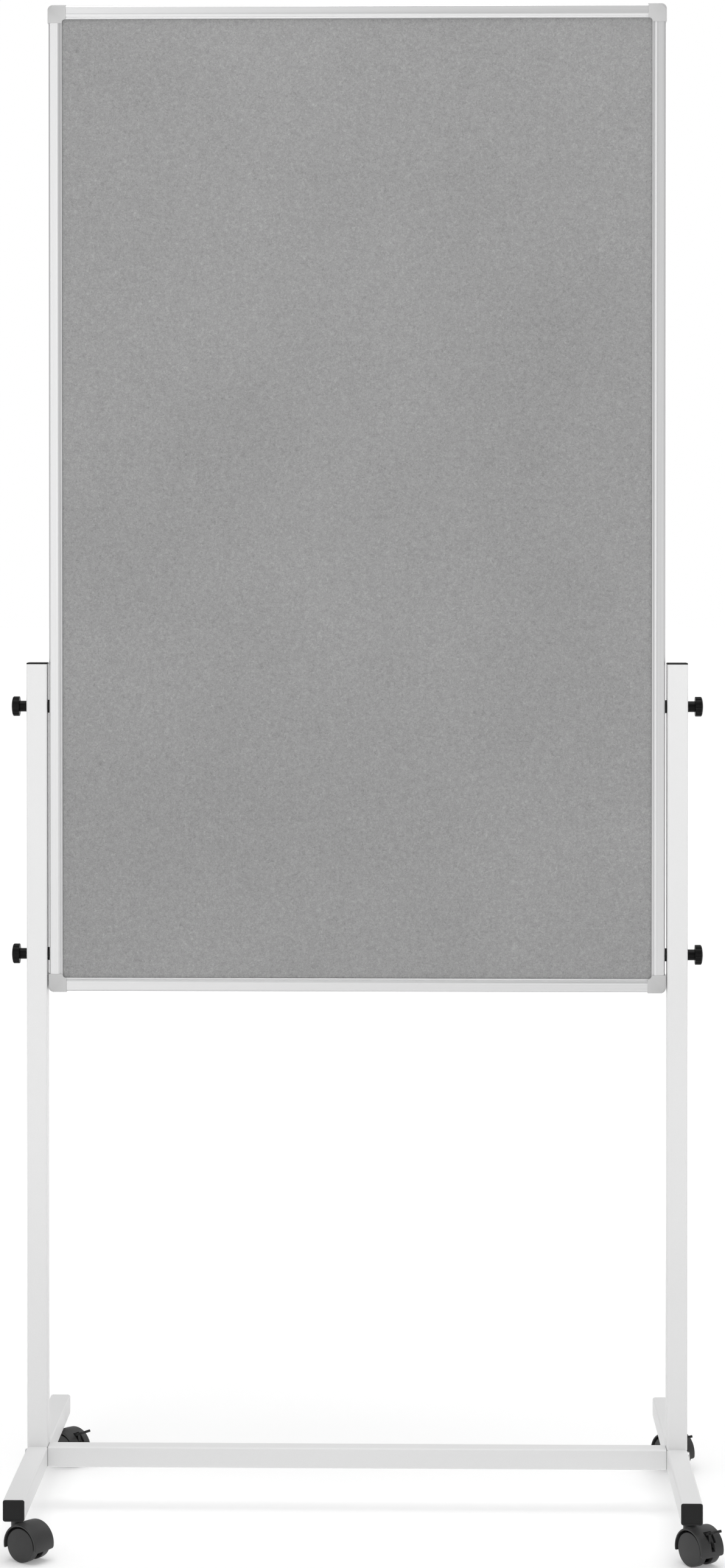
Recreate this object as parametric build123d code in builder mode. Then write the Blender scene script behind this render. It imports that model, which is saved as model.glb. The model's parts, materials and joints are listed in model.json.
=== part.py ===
"""Rolling double-sided board: a portrait 750 x 1200 board with an aluminium
frame, grey felt on its front and a steel writing sheet on its back, clamped
between two square-tube uprights that stand on a crossbar, two feet and four
twin-wheel casters.

Millimetres. X runs to the right as the felt side is faced, Y away from the
person facing it, Z up. The origin is on the floor, midway between the uprights.
"""

from build123d import *
import math
import os

os.makedirs("parts", exist_ok=True)

# ---------------------------------------------------------------- dimensions
# stand
TUBE = 25.0  # square tube, outside
WALL = 1.5  # its wall
TUBE_R = 2.2  # its outer corner radius
POST_X = 390.0  # centre line of each upright and foot, from the middle
FOOT_Z = 52.0  # underside of the feet above the floor
FOOT_L = 503.0  # length of the foot tube
FOOT_TOP = FOOT_Z + TUBE
FOOT_MID = FOOT_Z + TUBE / 2
UPRIGHT_TOP = 1033.0  # top end of the upright tube
CAP_T = 2.0  # visible thickness of an upright's cap
FOOT_CAP_T = 1.5  # and of a foot's cap
CAP_GRIP = 12.0  # length of a cap's skirt inside the tube
INNER = TUBE - 2 * WALL  # inside width of the tube
PLUG = INNER - 0.2  # width of what sits inside the tube
PLUG_L = 20.0
BOLT_R = 3.0  # M6
BOLT_HEAD_R = 5.5
BOLT_HEAD_H = 3.6
BOLT_SPREAD = 7.0  # each upright's two bolts stand this far either side of its middle
CROSS_BOLT_Z = FOOT_MID + 1.5
RIM_T = 0.5  # rim of the plug in each end of the crossbar
RIM = 24.2  # its width

# board
BOARD_W = 750.0
BOARD_H = 1200.0
BOARD_Z = 634.0  # underside of the board above the floor
BOARD_T = 20.0
BOARD_MID = BOARD_Z + BOARD_H / 2
FACE = 16.5  # width of the frame's face
CORNER = 21.0  # how far a corner piece reaches along each side
PROUD = 1.0  # how far a corner piece stands outside the profile
CORNER_R = 6.5
OPENING_R = 4.0
PANEL_EDGE = 8.0  # the panel's edge, in from the outside of the frame
LIP = 8.05  # half height of the channel that holds the panel
PANEL = 8.0  # half thickness of the panel
FELT_T = 2.0
CORE_T = 10.0
BACKING_T = 3.5
SHEET_T = 0.5
RISE_FELT = 0.4  # the felt face stands this much above its tucked-in edge
RISE_SHEET = 0.25
PANEL_W = BOARD_W - 2 * PANEL_EDGE
PANEL_H = BOARD_H - 2 * PANEL_EDGE
OPEN_W = BOARD_W - 2 * FACE
OPEN_H = BOARD_H - 2 * FACE
SLOT_MOUTH = 3.3  # half width of the mouth of the slot in the frame's edge
SLOT_LIP = 1.6  # depth of that mouth
SLOT_HALF = 5.8  # half width of the slot behind its mouth
SLOT_FLOOR = 6.2  # depth of the slot's floor

# clamps
KNOB_Z = (BOARD_Z + 45.0, BOARD_Z + 347.5)
STUD_R = 3.0
KNOB_R = 12.2
KNOB_HEAD = 9.9
KNOB_NECK = 9.2
KNOB_NECK_R = 6.65
GAP = POST_X - TUBE / 2 - BOARD_W / 2  # between upright and board frame
SPACER_R = 8.0
SPACER_T = GAP - 0.1
NUT_L = 12.0
POST_OUT = POST_X + TUBE / 2
POST_IN = POST_X - TUBE / 2

# casters, in their own frame: stem axis upright through the origin, the wheels
# trailing along +X, the axle along Y
STEM_Y = 215.0  # from the middle of the foot
TRAIL = 17.2
WHEEL_R = 20.0
WHEEL_IN = 5.2  # inner side of each wheel from the middle plane
WHEEL_OUT = 16.5
HOOD_HALF = 17.0
HOOD_R_EDGE = 23.4  # outer radius at the two rims
HOOD_R_SHOULDER = 24.5  # just inside the rims
HOOD_R_MID = 25.2
HOOD_IN_EDGE = 22.2
HOOD_IN_MID = 23.2
HOOD_START = -13.0  # trailing lower end of the hood, degrees up from level
HOOD_ARC = 206.0
BOSS_R = 7.4
BOSS_TOP = FOOT_Z - 2.0
STEM_R = 5.0
BORE_FLOOR = 40.8
AXLE_R = 2.5
SPINE = 3.4  # half thickness of the plate between the wheels
HUB_R = 6.5
PIVOT = (TRAIL + 13.5, WHEEL_R + 9.5)  # brake lever's pivot, X and Z
PIVOT_R = 1.4
PEDAL_RISE = math.radians(21)
PEDAL_T = 3.2
LEVER_HALF = 2.2
CHEEK_IN = 2.4
CHEEK_OUT = 4.5

# name, X, Y, direction the wheels trail towards (degrees from +X), brake
CASTERS = (
    ("front_left", -POST_X, -STEM_Y, -34.0, False),
    ("front_right", POST_X, -STEM_Y, -54.0, True),
    ("rear_left", -POST_X, STEM_Y, -34.0, True),
    ("rear_right", POST_X, STEM_Y, -55.0, True),
)


# ------------------------------------------------------------------- profiles
def square_tube(x, y):
    """Square tube section round the point x, y of the current sketch."""
    with Locations((x, y)):
        RectangleRounded(TUBE, TUBE, TUBE_R)
        RectangleRounded(INNER, INNER, TUBE_R - WALL, mode=Mode.SUBTRACT)


def frame_section(place):
    """Frame extrusion. place(u, v) puts a point that is u in from the outer
    edge and v from the middle plane. Both faces are alike: a rounded outer
    edge, a flat band, a rounded shoulder, a narrow groove and a bead along the
    panel. The outer edge has a T-slot, the inner edge the panel channel."""
    with BuildLine() as section:
        for s in (-1, 1):
            Line(place(SLOT_LIP, s * SLOT_MOUTH), place(0, s * SLOT_MOUTH))
            Line(place(0, s * SLOT_MOUTH), place(0, s * 7.4))
            ThreePointArc(
                place(0, s * 7.4), place(0.76, s * 9.24), place(2.6, s * 10.0)
            )
            Line(place(2.6, s * 10.0), place(9.4, s * 10.0))
            ThreePointArc(
                place(9.4, s * 10.0), place(11.8, s * 10.02), place(13.7, s * 9.3)
            )
            Line(place(13.7, s * 9.3), place(14.15, s * 9.0))
            Line(place(14.15, s * 9.0), place(14.6, s * 9.2))
            ThreePointArc(
                place(14.6, s * 9.2), place(15.6, s * 9.75), place(FACE, s * 8.95)
            )
            Line(place(FACE, s * 8.95), place(FACE, s * LIP))
            Line(place(FACE, s * LIP), place(SLOT_FLOOR + 1.2, s * LIP))
            Line(place(SLOT_LIP, s * SLOT_MOUTH), place(SLOT_LIP, s * SLOT_HALF))
            Line(place(SLOT_LIP, s * SLOT_HALF), place(SLOT_FLOOR, s * SLOT_HALF))
        Line(place(SLOT_FLOOR, -SLOT_HALF), place(SLOT_FLOOR, SLOT_HALF))
        Line(place(SLOT_FLOOR + 1.2, -LIP), place(SLOT_FLOOR + 1.2, LIP))
    return section.edges()


# ------------------------------------------------------------- stand: uprights
with BuildPart() as upright_left:
    with BuildSketch(Plane.XY.offset(FOOT_TOP)):
        square_tube(-POST_X, 0)
    extrude(amount=UPRIGHT_TOP - FOOT_TOP)
    with BuildSketch(Plane.YZ.offset(-POST_X - TUBE)):
        with Locations((0, KNOB_Z[0]), (0, KNOB_Z[1])):
            Circle(STUD_R + 0.3)
    extrude(amount=2 * TUBE, mode=Mode.SUBTRACT)
upright_left.part.label = "upright_left"

with BuildPart() as upright_right:
    mirror(upright_left.part, about=Plane.YZ)
upright_right.part.label = "upright_right"

# ---------------------------------------------------------------- stand: feet
with BuildPart() as foot_left:
    with BuildSketch(Plane.XZ.offset(-FOOT_L / 2)):
        square_tube(-POST_X, FOOT_MID)
    extrude(amount=FOOT_L)
    # clearance holes up through both walls for the upright's two bolts
    with BuildSketch(Plane.XY.offset(FOOT_Z - 1)):
        with Locations((-POST_X, -BOLT_SPREAD), (-POST_X, BOLT_SPREAD)):
            Circle(BOLT_R + 0.2)
    extrude(amount=TUBE + 2, mode=Mode.SUBTRACT)
    # clearance hole across both walls for the crossbar's bolt
    with BuildSketch(Plane.YZ.offset(-POST_X - TUBE)):
        with Locations((0, CROSS_BOLT_Z)):
            Circle(BOLT_R + 0.2)
    extrude(amount=2 * TUBE, mode=Mode.SUBTRACT)
    # holes in the lower wall for the caster stems
    with BuildSketch(Plane.XY.offset(FOOT_Z - 1)):
        with Locations((-POST_X, -STEM_Y), (-POST_X, STEM_Y)):
            Circle(STEM_R + 0.6)
    extrude(amount=WALL + 1.5, mode=Mode.SUBTRACT)
foot_left.part.label = "foot_left"

with BuildPart() as foot_right:
    mirror(foot_left.part, about=Plane.YZ)
foot_right.part.label = "foot_right"

# ------------------------------------------------------------ stand: crossbar
with BuildPart() as crossbar:
    with BuildSketch(Plane.YZ.offset(-POST_IN + RIM_T)):
        square_tube(0, FOOT_MID)
    extrude(amount=2 * (POST_IN - RIM_T))
crossbar.part.label = "crossbar"

# --------------------------------------------------- stand: caps on tube ends
with BuildPart() as upright_cap_left:
    with BuildSketch(Plane.XY.offset(UPRIGHT_TOP)):
        with Locations((-POST_X, 0)):
            RectangleRounded(TUBE, TUBE, TUBE_R)
    extrude(amount=CAP_T)
    fillet(upright_cap_left.faces().sort_by(Axis.Z)[-1].edges(), radius=1.0)
    with BuildSketch(Plane.XY.offset(UPRIGHT_TOP)):
        with Locations((-POST_X, 0)):
            RectangleRounded(PLUG, PLUG, 0.6)
            Rectangle(PLUG - 3.2, PLUG - 3.2, mode=Mode.SUBTRACT)
    extrude(amount=-CAP_GRIP)
upright_cap_left.part.label = "upright_cap_left"

with BuildPart() as upright_cap_right:
    mirror(upright_cap_left.part, about=Plane.YZ)
upright_cap_right.part.label = "upright_cap_right"

with BuildPart() as foot_cap_front_left:
    with BuildSketch(Plane.XZ.offset(FOOT_L / 2)):
        with Locations((-POST_X, FOOT_MID)):
            RectangleRounded(TUBE, TUBE, 2.8)
    extrude(amount=FOOT_CAP_T)
    fillet(foot_cap_front_left.faces().sort_by(Axis.Y)[0].edges(), radius=1.0)
    # shallow dish in the visible face
    with BuildSketch(Plane.XZ.offset(FOOT_L / 2 + FOOT_CAP_T)):
        with Locations((-POST_X, FOOT_MID)):
            RectangleRounded(TUBE - 4.4, TUBE - 4.4, 1.8)
    extrude(amount=-0.35, mode=Mode.SUBTRACT)
    with BuildSketch(Plane.XZ.offset(FOOT_L / 2)):
        with Locations((-POST_X, FOOT_MID)):
            RectangleRounded(PLUG, PLUG, 0.6)
            Rectangle(PLUG - 3.2, PLUG - 3.2, mode=Mode.SUBTRACT)
    extrude(amount=-CAP_GRIP)
foot_cap_front_left.part.label = "foot_cap_front_left"

with BuildPart() as foot_cap_front_right:
    mirror(foot_cap_front_left.part, about=Plane.YZ)
foot_cap_front_right.part.label = "foot_cap_front_right"

with BuildPart() as foot_cap_rear_left:
    mirror(foot_cap_front_left.part, about=Plane.XZ)
foot_cap_rear_left.part.label = "foot_cap_rear_left"

with BuildPart() as foot_cap_rear_right:
    mirror(foot_cap_rear_left.part, about=Plane.YZ)
foot_cap_rear_right.part.label = "foot_cap_rear_right"

# ------------------------------- stand: threaded plugs and bolts inside tubes
with BuildPart() as upright_plugs:
    with BuildSketch(Plane.XY.offset(FOOT_TOP)):
        with Locations((-POST_X, 0), (POST_X, 0)):
            RectangleRounded(PLUG, PLUG, 0.6)
        with Locations(
            (-POST_X, -BOLT_SPREAD),
            (-POST_X, BOLT_SPREAD),
            (POST_X, -BOLT_SPREAD),
            (POST_X, BOLT_SPREAD),
        ):
            Circle(BOLT_R, mode=Mode.SUBTRACT)
    extrude(amount=PLUG_L)
upright_plugs.part.label = "upright_plugs"

with BuildPart() as upright_bolts:
    spots = [
        (x, y) for x in (-POST_X, POST_X) for y in (-BOLT_SPREAD, BOLT_SPREAD)
    ]
    with BuildSketch(Plane.XY.offset(FOOT_Z)):
        with Locations(*spots):
            Circle(BOLT_HEAD_R)
    extrude(amount=-BOLT_HEAD_H)
    fillet(upright_bolts.edges().group_by(Axis.Z)[0], radius=1.4)
    with BuildSketch(Plane.XY.offset(FOOT_Z - BOLT_HEAD_H)):
        with Locations(*spots):
            RegularPolygon(2.0, 6, major_radius=False)
    extrude(amount=2.2, mode=Mode.SUBTRACT)
    with BuildSketch(Plane.XY.offset(FOOT_Z)):
        with Locations(*spots):
            Circle(BOLT_R - 0.05)
    extrude(amount=TUBE + PLUG_L - 3)
upright_bolts.part.label = "upright_bolts"

with BuildPart() as crossbar_plugs:
    for side in (-1, 1):
        with BuildSketch(Plane.YZ.offset(side * POST_IN)):
            with Locations((0, FOOT_MID)):
                RectangleRounded(RIM, RIM, TUBE_R)
            with Locations((0, CROSS_BOLT_Z)):
                Circle(BOLT_R, mode=Mode.SUBTRACT)
        extrude(amount=-side * RIM_T)
        with BuildSketch(Plane.YZ.offset(side * (POST_IN - RIM_T))):
            with Locations((0, FOOT_MID)):
                RectangleRounded(PLUG, PLUG, 0.6)
            with Locations((0, CROSS_BOLT_Z)):
                Circle(BOLT_R, mode=Mode.SUBTRACT)
        extrude(amount=-side * PLUG_L)
crossbar_plugs.part.label = "crossbar_plugs"

with BuildPart() as crossbar_bolts:
    for side in (-1, 1):
        with BuildSketch(Plane.YZ.offset(side * POST_OUT)):
            with Locations((0, CROSS_BOLT_Z)):
                Circle(BOLT_HEAD_R)
        extrude(amount=side * BOLT_HEAD_H)
    fillet(
        crossbar_bolts.edges().group_by(Axis.X)[0]
        + crossbar_bolts.edges().group_by(Axis.X)[-1],
        radius=1.4,
    )
    for side in (-1, 1):
        with BuildSketch(Plane.YZ.offset(side * (POST_OUT + BOLT_HEAD_H))):
            with Locations((0, CROSS_BOLT_Z)):
                RegularPolygon(2.0, 6, major_radius=False)
        extrude(amount=-side * 2.2, mode=Mode.SUBTRACT)
        with BuildSketch(Plane.YZ.offset(side * POST_OUT)):
            with Locations((0, CROSS_BOLT_Z)):
                Circle(BOLT_R - 0.05)
        extrude(amount=-side * (TUBE + PLUG_L - 3))
crossbar_bolts.part.label = "crossbar_bolts"

# -------------------------------------- stand: caster sockets and their stems
stem_spots = [(x, y) for x in (-POST_X, POST_X) for y in (-STEM_Y, STEM_Y)]

with BuildPart() as caster_inserts:
    with BuildSketch(Plane.XY.offset(FOOT_Z + WALL + 0.8)):
        with Locations(*stem_spots):
            RectangleRounded(PLUG, PLUG, 0.6)
            Circle(STEM_R + 0.02, mode=Mode.SUBTRACT)
    extrude(amount=19.7)
caster_inserts.part.label = "caster_inserts"

with BuildPart() as caster_stems:
    with BuildSketch(Plane.XY.offset(BORE_FLOOR + 0.4)):
        with Locations(*stem_spots):
            Circle(STEM_R)
    extrude(amount=FOOT_Z + 20 - BORE_FLOOR - 0.4)
    chamfer(caster_stems.edges().group_by(Axis.Z)[-1], length=0.8)
    # collar that the foot rests on
    with BuildSketch(Plane.XY.offset(FOOT_Z)):
        with Locations(*stem_spots):
            Circle(STEM_R + 1.8)
    extrude(amount=-1.7)
caster_stems.part.label = "caster_stems"

# --------------------------------- clamps: spacers and captive nuts in the slot
with BuildPart() as spacer_washers:
    for side in (-1, 1):
        with BuildSketch(Plane.YZ.offset(side * POST_IN)):
            with Locations((0, KNOB_Z[0]), (0, KNOB_Z[1])):
                Circle(SPACER_R)
                Circle(STUD_R + 0.3, mode=Mode.SUBTRACT)
        extrude(amount=-side * SPACER_T)
spacer_washers.part.label = "spacer_washers"

with BuildPart() as slide_nuts:
    for side in (-1, 1):
        edge = side * BOARD_W / 2
        # body behind the slot's lips
        with BuildSketch(Plane.YZ.offset(edge - side * (SLOT_LIP + 0.2))):
            with Locations((0, KNOB_Z[0]), (0, KNOB_Z[1])):
                Rectangle(2 * SLOT_HALF - 0.6, NUT_L)
        extrude(amount=-side * 4.0)
        # neck between the lips
        with BuildSketch(Plane.YZ.offset(edge)):
            with Locations((0, KNOB_Z[0]), (0, KNOB_Z[1])):
                Rectangle(2 * SLOT_MOUTH - 0.4, NUT_L)
        extrude(amount=-side * (SLOT_LIP + 0.2))
        with BuildSketch(Plane.YZ.offset(edge)):
            with Locations((0, KNOB_Z[0]), (0, KNOB_Z[1])):
                Circle(STUD_R + 0.05)
        extrude(amount=-side * 8.0, mode=Mode.SUBTRACT)
slide_nuts.part.label = "slide_nuts"

# ------------------------------------------------------------ board: the frame
with BuildPart() as frame_left:
    with BuildSketch(Plane.XY.offset(BOARD_Z + CORNER)):
        make_face(frame_section(lambda u, v: (-BOARD_W / 2 + u, v)))
    extrude(amount=BOARD_H - 2 * CORNER)
    # back-face holes for the corner screws
    with BuildSketch(Plane.XZ.offset(-BOARD_T)):
        with Locations(
            (-BOARD_W / 2 + 3.9, BOARD_Z + CORNER + 3),
            (-BOARD_W / 2 + 3.9, BOARD_Z + BOARD_H - CORNER - 3),
        ):
            Circle(1.6)
    extrude(amount=BOARD_T - 4, mode=Mode.SUBTRACT)
frame_left.part.label = "frame_left"

with BuildPart() as frame_right:
    mirror(frame_left.part, about=Plane.YZ)
frame_right.part.label = "frame_right"

with BuildPart() as frame_bottom:
    with BuildSketch(Plane.YZ.offset(-BOARD_W / 2 + CORNER)):
        make_face(frame_section(lambda u, v: (v, BOARD_Z + u)))
    extrude(amount=BOARD_W - 2 * CORNER)
    with BuildSketch(Plane.XZ.offset(-BOARD_T)):
        with Locations(
            (-BOARD_W / 2 + CORNER + 3, BOARD_Z + 3.9),
            (BOARD_W / 2 - CORNER - 3, BOARD_Z + 3.9),
        ):
            Circle(1.6)
    extrude(amount=BOARD_T - 4, mode=Mode.SUBTRACT)
frame_bottom.part.label = "frame_bottom"

with BuildPart() as frame_top:
    mirror(frame_bottom.part, about=Plane.XY.offset(BOARD_MID))
frame_top.part.label = "frame_top"

# -------------------------------------------------- board: four corner pieces
with BuildPart() as corner_bottom_left:
    x0 = -BOARD_W / 2
    z0 = BOARD_Z
    size = CORNER + PROUD
    half = BOARD_T / 2 + PROUD
    with BuildSketch(Plane.XZ.offset(-half)) as corner_outline:
        with Locations((x0 - PROUD, z0 - PROUD)):
            Rectangle(size, size, align=(Align.MIN, Align.MIN))
        fillet(
            corner_outline.vertices().sort_by_distance((x0 - PROUD, -half, z0 - PROUD))[
                :1
            ],
            radius=CORNER_R,
        )
        with Locations((x0 + FACE - 0.1, z0 + FACE - 0.1)):
            Rectangle(20, 20, align=(Align.MIN, Align.MIN), mode=Mode.SUBTRACT)
    extrude(amount=2 * half)
    # rounded concave corner of the opening
    fillet(
        corner_bottom_left.edges()
        .filter_by(Axis.Y)
        .sort_by_distance((x0 + FACE - 0.1, 0, z0 + FACE - 0.1))[:1],
        radius=OPENING_R,
    )
    # outer edges of both faces rounded
    outer_edges = [
        e
        for e in corner_bottom_left.edges()
        if abs(abs(e.center().Y) - half) < 1e-6
        and (
            e.center().X < x0 - PROUD + 0.01
            or e.center().Z < z0 - PROUD + 0.01
            or (e.geom_type == GeomType.CIRCLE and e.center().X < x0 + 4)
        )
    ]
    fillet(outer_edges, radius=1.6)
    # channel for the panel's corner
    with BuildSketch(Plane.XZ.offset(-LIP)):
        with Locations((x0 + SLOT_FLOOR + 1.2, z0 + SLOT_FLOOR + 1.2)):
            Rectangle(20, 20, align=(Align.MIN, Align.MIN))
    extrude(amount=2 * LIP, mode=Mode.SUBTRACT)
    # tongues that run into the slots of the two profiles
    with BuildSketch(Plane.XY.offset(z0 + CORNER)):
        with Locations((x0 + SLOT_LIP + 0.2, 0)):
            Rectangle(
                SLOT_FLOOR - SLOT_LIP - 0.4,
                2 * SLOT_HALF - 0.4,
                align=(Align.MIN, Align.CENTER),
            )
    extrude(amount=6.0)
    with BuildSketch(Plane.YZ.offset(x0 + CORNER)):
        with Locations((0, z0 + SLOT_LIP + 0.2)):
            Rectangle(
                2 * SLOT_HALF - 0.4,
                SLOT_FLOOR - SLOT_LIP - 0.4,
                align=(Align.CENTER, Align.MIN),
            )
    extrude(amount=6.0)
    # pilot holes for the screws
    with BuildSketch(Plane.XZ.offset(-SLOT_HALF - 1)):
        with Locations((x0 + 3.9, z0 + CORNER + 3), (x0 + CORNER + 3, z0 + 3.9)):
            Circle(1.5)
    extrude(amount=SLOT_HALF + 4, mode=Mode.SUBTRACT)
corner_bottom_left.part.label = "corner_bottom_left"

with BuildPart() as corner_bottom_right:
    mirror(corner_bottom_left.part, about=Plane.YZ)
corner_bottom_right.part.label = "corner_bottom_right"

with BuildPart() as corner_top_left:
    mirror(corner_bottom_left.part, about=Plane.XY.offset(BOARD_MID))
corner_top_left.part.label = "corner_top_left"

with BuildPart() as corner_top_right:
    mirror(corner_bottom_right.part, about=Plane.XY.offset(BOARD_MID))
corner_top_right.part.label = "corner_top_right"

# small pan-head screws, driven from the back through the profiles
with BuildPart() as corner_screws:
    screw_spots = []
    for sx in (-1, 1):
        for z, up in ((BOARD_Z, 1), (BOARD_Z + BOARD_H, -1)):
            screw_spots.append((sx * (BOARD_W / 2 - 3.9), z + up * (CORNER + 3)))
            screw_spots.append((sx * (BOARD_W / 2 - CORNER - 3), z + up * 3.9))
    with BuildSketch(Plane.XZ.offset(-BOARD_T / 2)):
        with Locations(*screw_spots):
            Circle(2.3)
    extrude(amount=-1.3)
    fillet(corner_screws.edges().group_by(Axis.Y)[-1], radius=0.8)
    with BuildSketch(Plane.XZ.offset(-BOARD_T / 2)):
        with Locations(*screw_spots):
            Circle(1.45)
    extrude(amount=12.0)
corner_screws.part.label = "corner_screws"

# ------------------------------------------------ board: the layers of the panel
with BuildPart() as felt_cover:
    with BuildSketch(Plane.XZ.offset(PANEL)):
        with Locations((0, BOARD_MID)):
            Rectangle(PANEL_W, PANEL_H)
    extrude(amount=-FELT_T)
    with BuildSketch(Plane.XZ.offset(PANEL)):
        with Locations((0, BOARD_MID)):
            RectangleRounded(OPEN_W - 0.8, OPEN_H - 0.8, OPENING_R - 0.4)
    extrude(amount=RISE_FELT)
felt_cover.part.label = "felt_cover"

with BuildPart() as pinboard_core:
    with BuildSketch(Plane.XZ.offset(PANEL - FELT_T)):
        with Locations((0, BOARD_MID)):
            Rectangle(PANEL_W, PANEL_H)
    extrude(amount=-CORE_T)
pinboard_core.part.label = "pinboard_core"

with BuildPart() as backing_board:
    with BuildSketch(Plane.XZ.offset(PANEL - FELT_T - CORE_T)):
        with Locations((0, BOARD_MID)):
            Rectangle(PANEL_W, PANEL_H)
    extrude(amount=-BACKING_T)
backing_board.part.label = "backing_board"

with BuildPart() as whiteboard_sheet:
    with BuildSketch(Plane.XZ.offset(PANEL - FELT_T - CORE_T - BACKING_T)):
        with Locations((0, BOARD_MID)):
            Rectangle(PANEL_W, PANEL_H)
    extrude(amount=-SHEET_T)
    with BuildSketch(Plane.XZ.offset(-PANEL)):
        with Locations((0, BOARD_MID)):
            RectangleRounded(OPEN_W - 0.8, OPEN_H - 0.8, OPENING_R - 0.4)
    extrude(amount=-RISE_SHEET)
whiteboard_sheet.part.label = "whiteboard_sheet"

# ------------------------------------------------------- clamps: knob and stud
# Made once on the left side at height zero, then placed: head outwards, neck on
# the upright, stud through upright and spacer into the captive nut.
with BuildPart() as knob_left:
    face = -POST_OUT - 0.05
    # neck
    with BuildSketch(Plane.YZ.offset(face)):
        Circle(KNOB_NECK_R)
    extrude(amount=-KNOB_NECK - 1)
    chamfer(knob_left.faces().sort_by(Axis.X)[-1].edges(), length=0.4)
    # lobed head
    with BuildSketch(Plane.YZ.offset(face - KNOB_NECK)) as lobes:
        Circle(KNOB_R)
        with PolarLocations(KNOB_R + 1.5, 8):
            Circle(2.7, mode=Mode.SUBTRACT)
        fillet(lobes.vertices(), radius=0.8)
    extrude(amount=-KNOB_HEAD)
    # domed end and rounded rim
    with BuildSketch(Plane.XY) as knob_turning:
        with BuildLine():
            tip = face - KNOB_NECK - KNOB_HEAD
            rim = face - KNOB_NECK
            Line((face, 0), (tip, 0))
            ThreePointArc((tip, 0), (tip + 0.35, 5.0), (tip + 1.5, KNOB_R - 1.6))
            ThreePointArc(
                (tip + 1.5, KNOB_R - 1.6),
                (tip + 2.1, KNOB_R - 0.6),
                (tip + 3.3, KNOB_R + 0.1),
            )
            Line((tip + 3.3, KNOB_R + 0.1), (rim - 0.6, KNOB_R + 0.1))
            Line((rim - 0.6, KNOB_R + 0.1), (rim, KNOB_R - 0.6))
            Line((rim, KNOB_R - 0.6), (rim, KNOB_NECK_R + 1.0))
            Line((rim, KNOB_NECK_R + 1.0), (face, KNOB_NECK_R + 1.0))
            Line((face, KNOB_NECK_R + 1.0), (face, 0))
        make_face()
    revolve(axis=Axis.X, revolution_arc=360, mode=Mode.INTERSECT)
    # pocket for the stud and its hexagonal head
    with BuildSketch(Plane.YZ.offset(face)):
        Circle(STUD_R + 0.03)
    extrude(amount=-KNOB_NECK, mode=Mode.SUBTRACT)
    with BuildSketch(Plane.YZ.offset(face - KNOB_NECK)):
        RegularPolygon(5.03, 6, major_radius=False)
    extrude(amount=-4.05, mode=Mode.SUBTRACT)

with BuildPart() as stud_left:
    with BuildSketch(Plane.YZ.offset(-POST_OUT - 0.05 - KNOB_NECK - 0.02)):
        RegularPolygon(5.0, 6, major_radius=False)
    extrude(amount=-4.0)
    with BuildSketch(Plane.YZ.offset(-POST_OUT - 0.05 - KNOB_NECK - 0.02)):
        Circle(STUD_R)
    extrude(amount=POST_OUT + KNOB_NECK + 0.07 - BOARD_W / 2 + SLOT_FLOOR - 0.5)
    chamfer(stud_left.faces().sort_by(Axis.X)[-1].edges(), length=0.5)

with BuildPart() as knob_upper_left:
    with Locations((0, 0, KNOB_Z[1])):
        add(knob_left.part)
knob_upper_left.part.label = "knob_upper_left"

with BuildPart() as knob_lower_left:
    with Locations((0, 0, KNOB_Z[0])):
        add(knob_left.part)
knob_lower_left.part.label = "knob_lower_left"

with BuildPart() as knob_upper_right:
    mirror(knob_upper_left.part, about=Plane.YZ)
knob_upper_right.part.label = "knob_upper_right"

with BuildPart() as knob_lower_right:
    mirror(knob_lower_left.part, about=Plane.YZ)
knob_lower_right.part.label = "knob_lower_right"

with BuildPart() as stud_upper_left:
    with Locations((0, 0, KNOB_Z[1])):
        add(stud_left.part)
stud_upper_left.part.label = "stud_upper_left"

with BuildPart() as stud_lower_left:
    with Locations((0, 0, KNOB_Z[0])):
        add(stud_left.part)
stud_lower_left.part.label = "stud_lower_left"

with BuildPart() as stud_upper_right:
    mirror(stud_upper_left.part, about=Plane.YZ)
stud_upper_right.part.label = "stud_upper_right"

with BuildPart() as stud_lower_right:
    mirror(stud_lower_left.part, about=Plane.YZ)
stud_lower_right.part.label = "stud_lower_right"

# --------------------------------------------------------------------- casters
AXLE_LINE = Axis((TRAIL, 0, WHEEL_R), (0, -1, 0))


def radial_plane(degrees):
    """Plane through the axle: its X along the axle, its Y outwards at that
    angle up from the trailing direction."""
    a = math.radians(degrees)
    return Plane(
        origin=(TRAIL, 0, WHEEL_R), x_dir=(0, 1, 0), z_dir=(math.sin(a), 0, -math.cos(a))
    )


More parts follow.
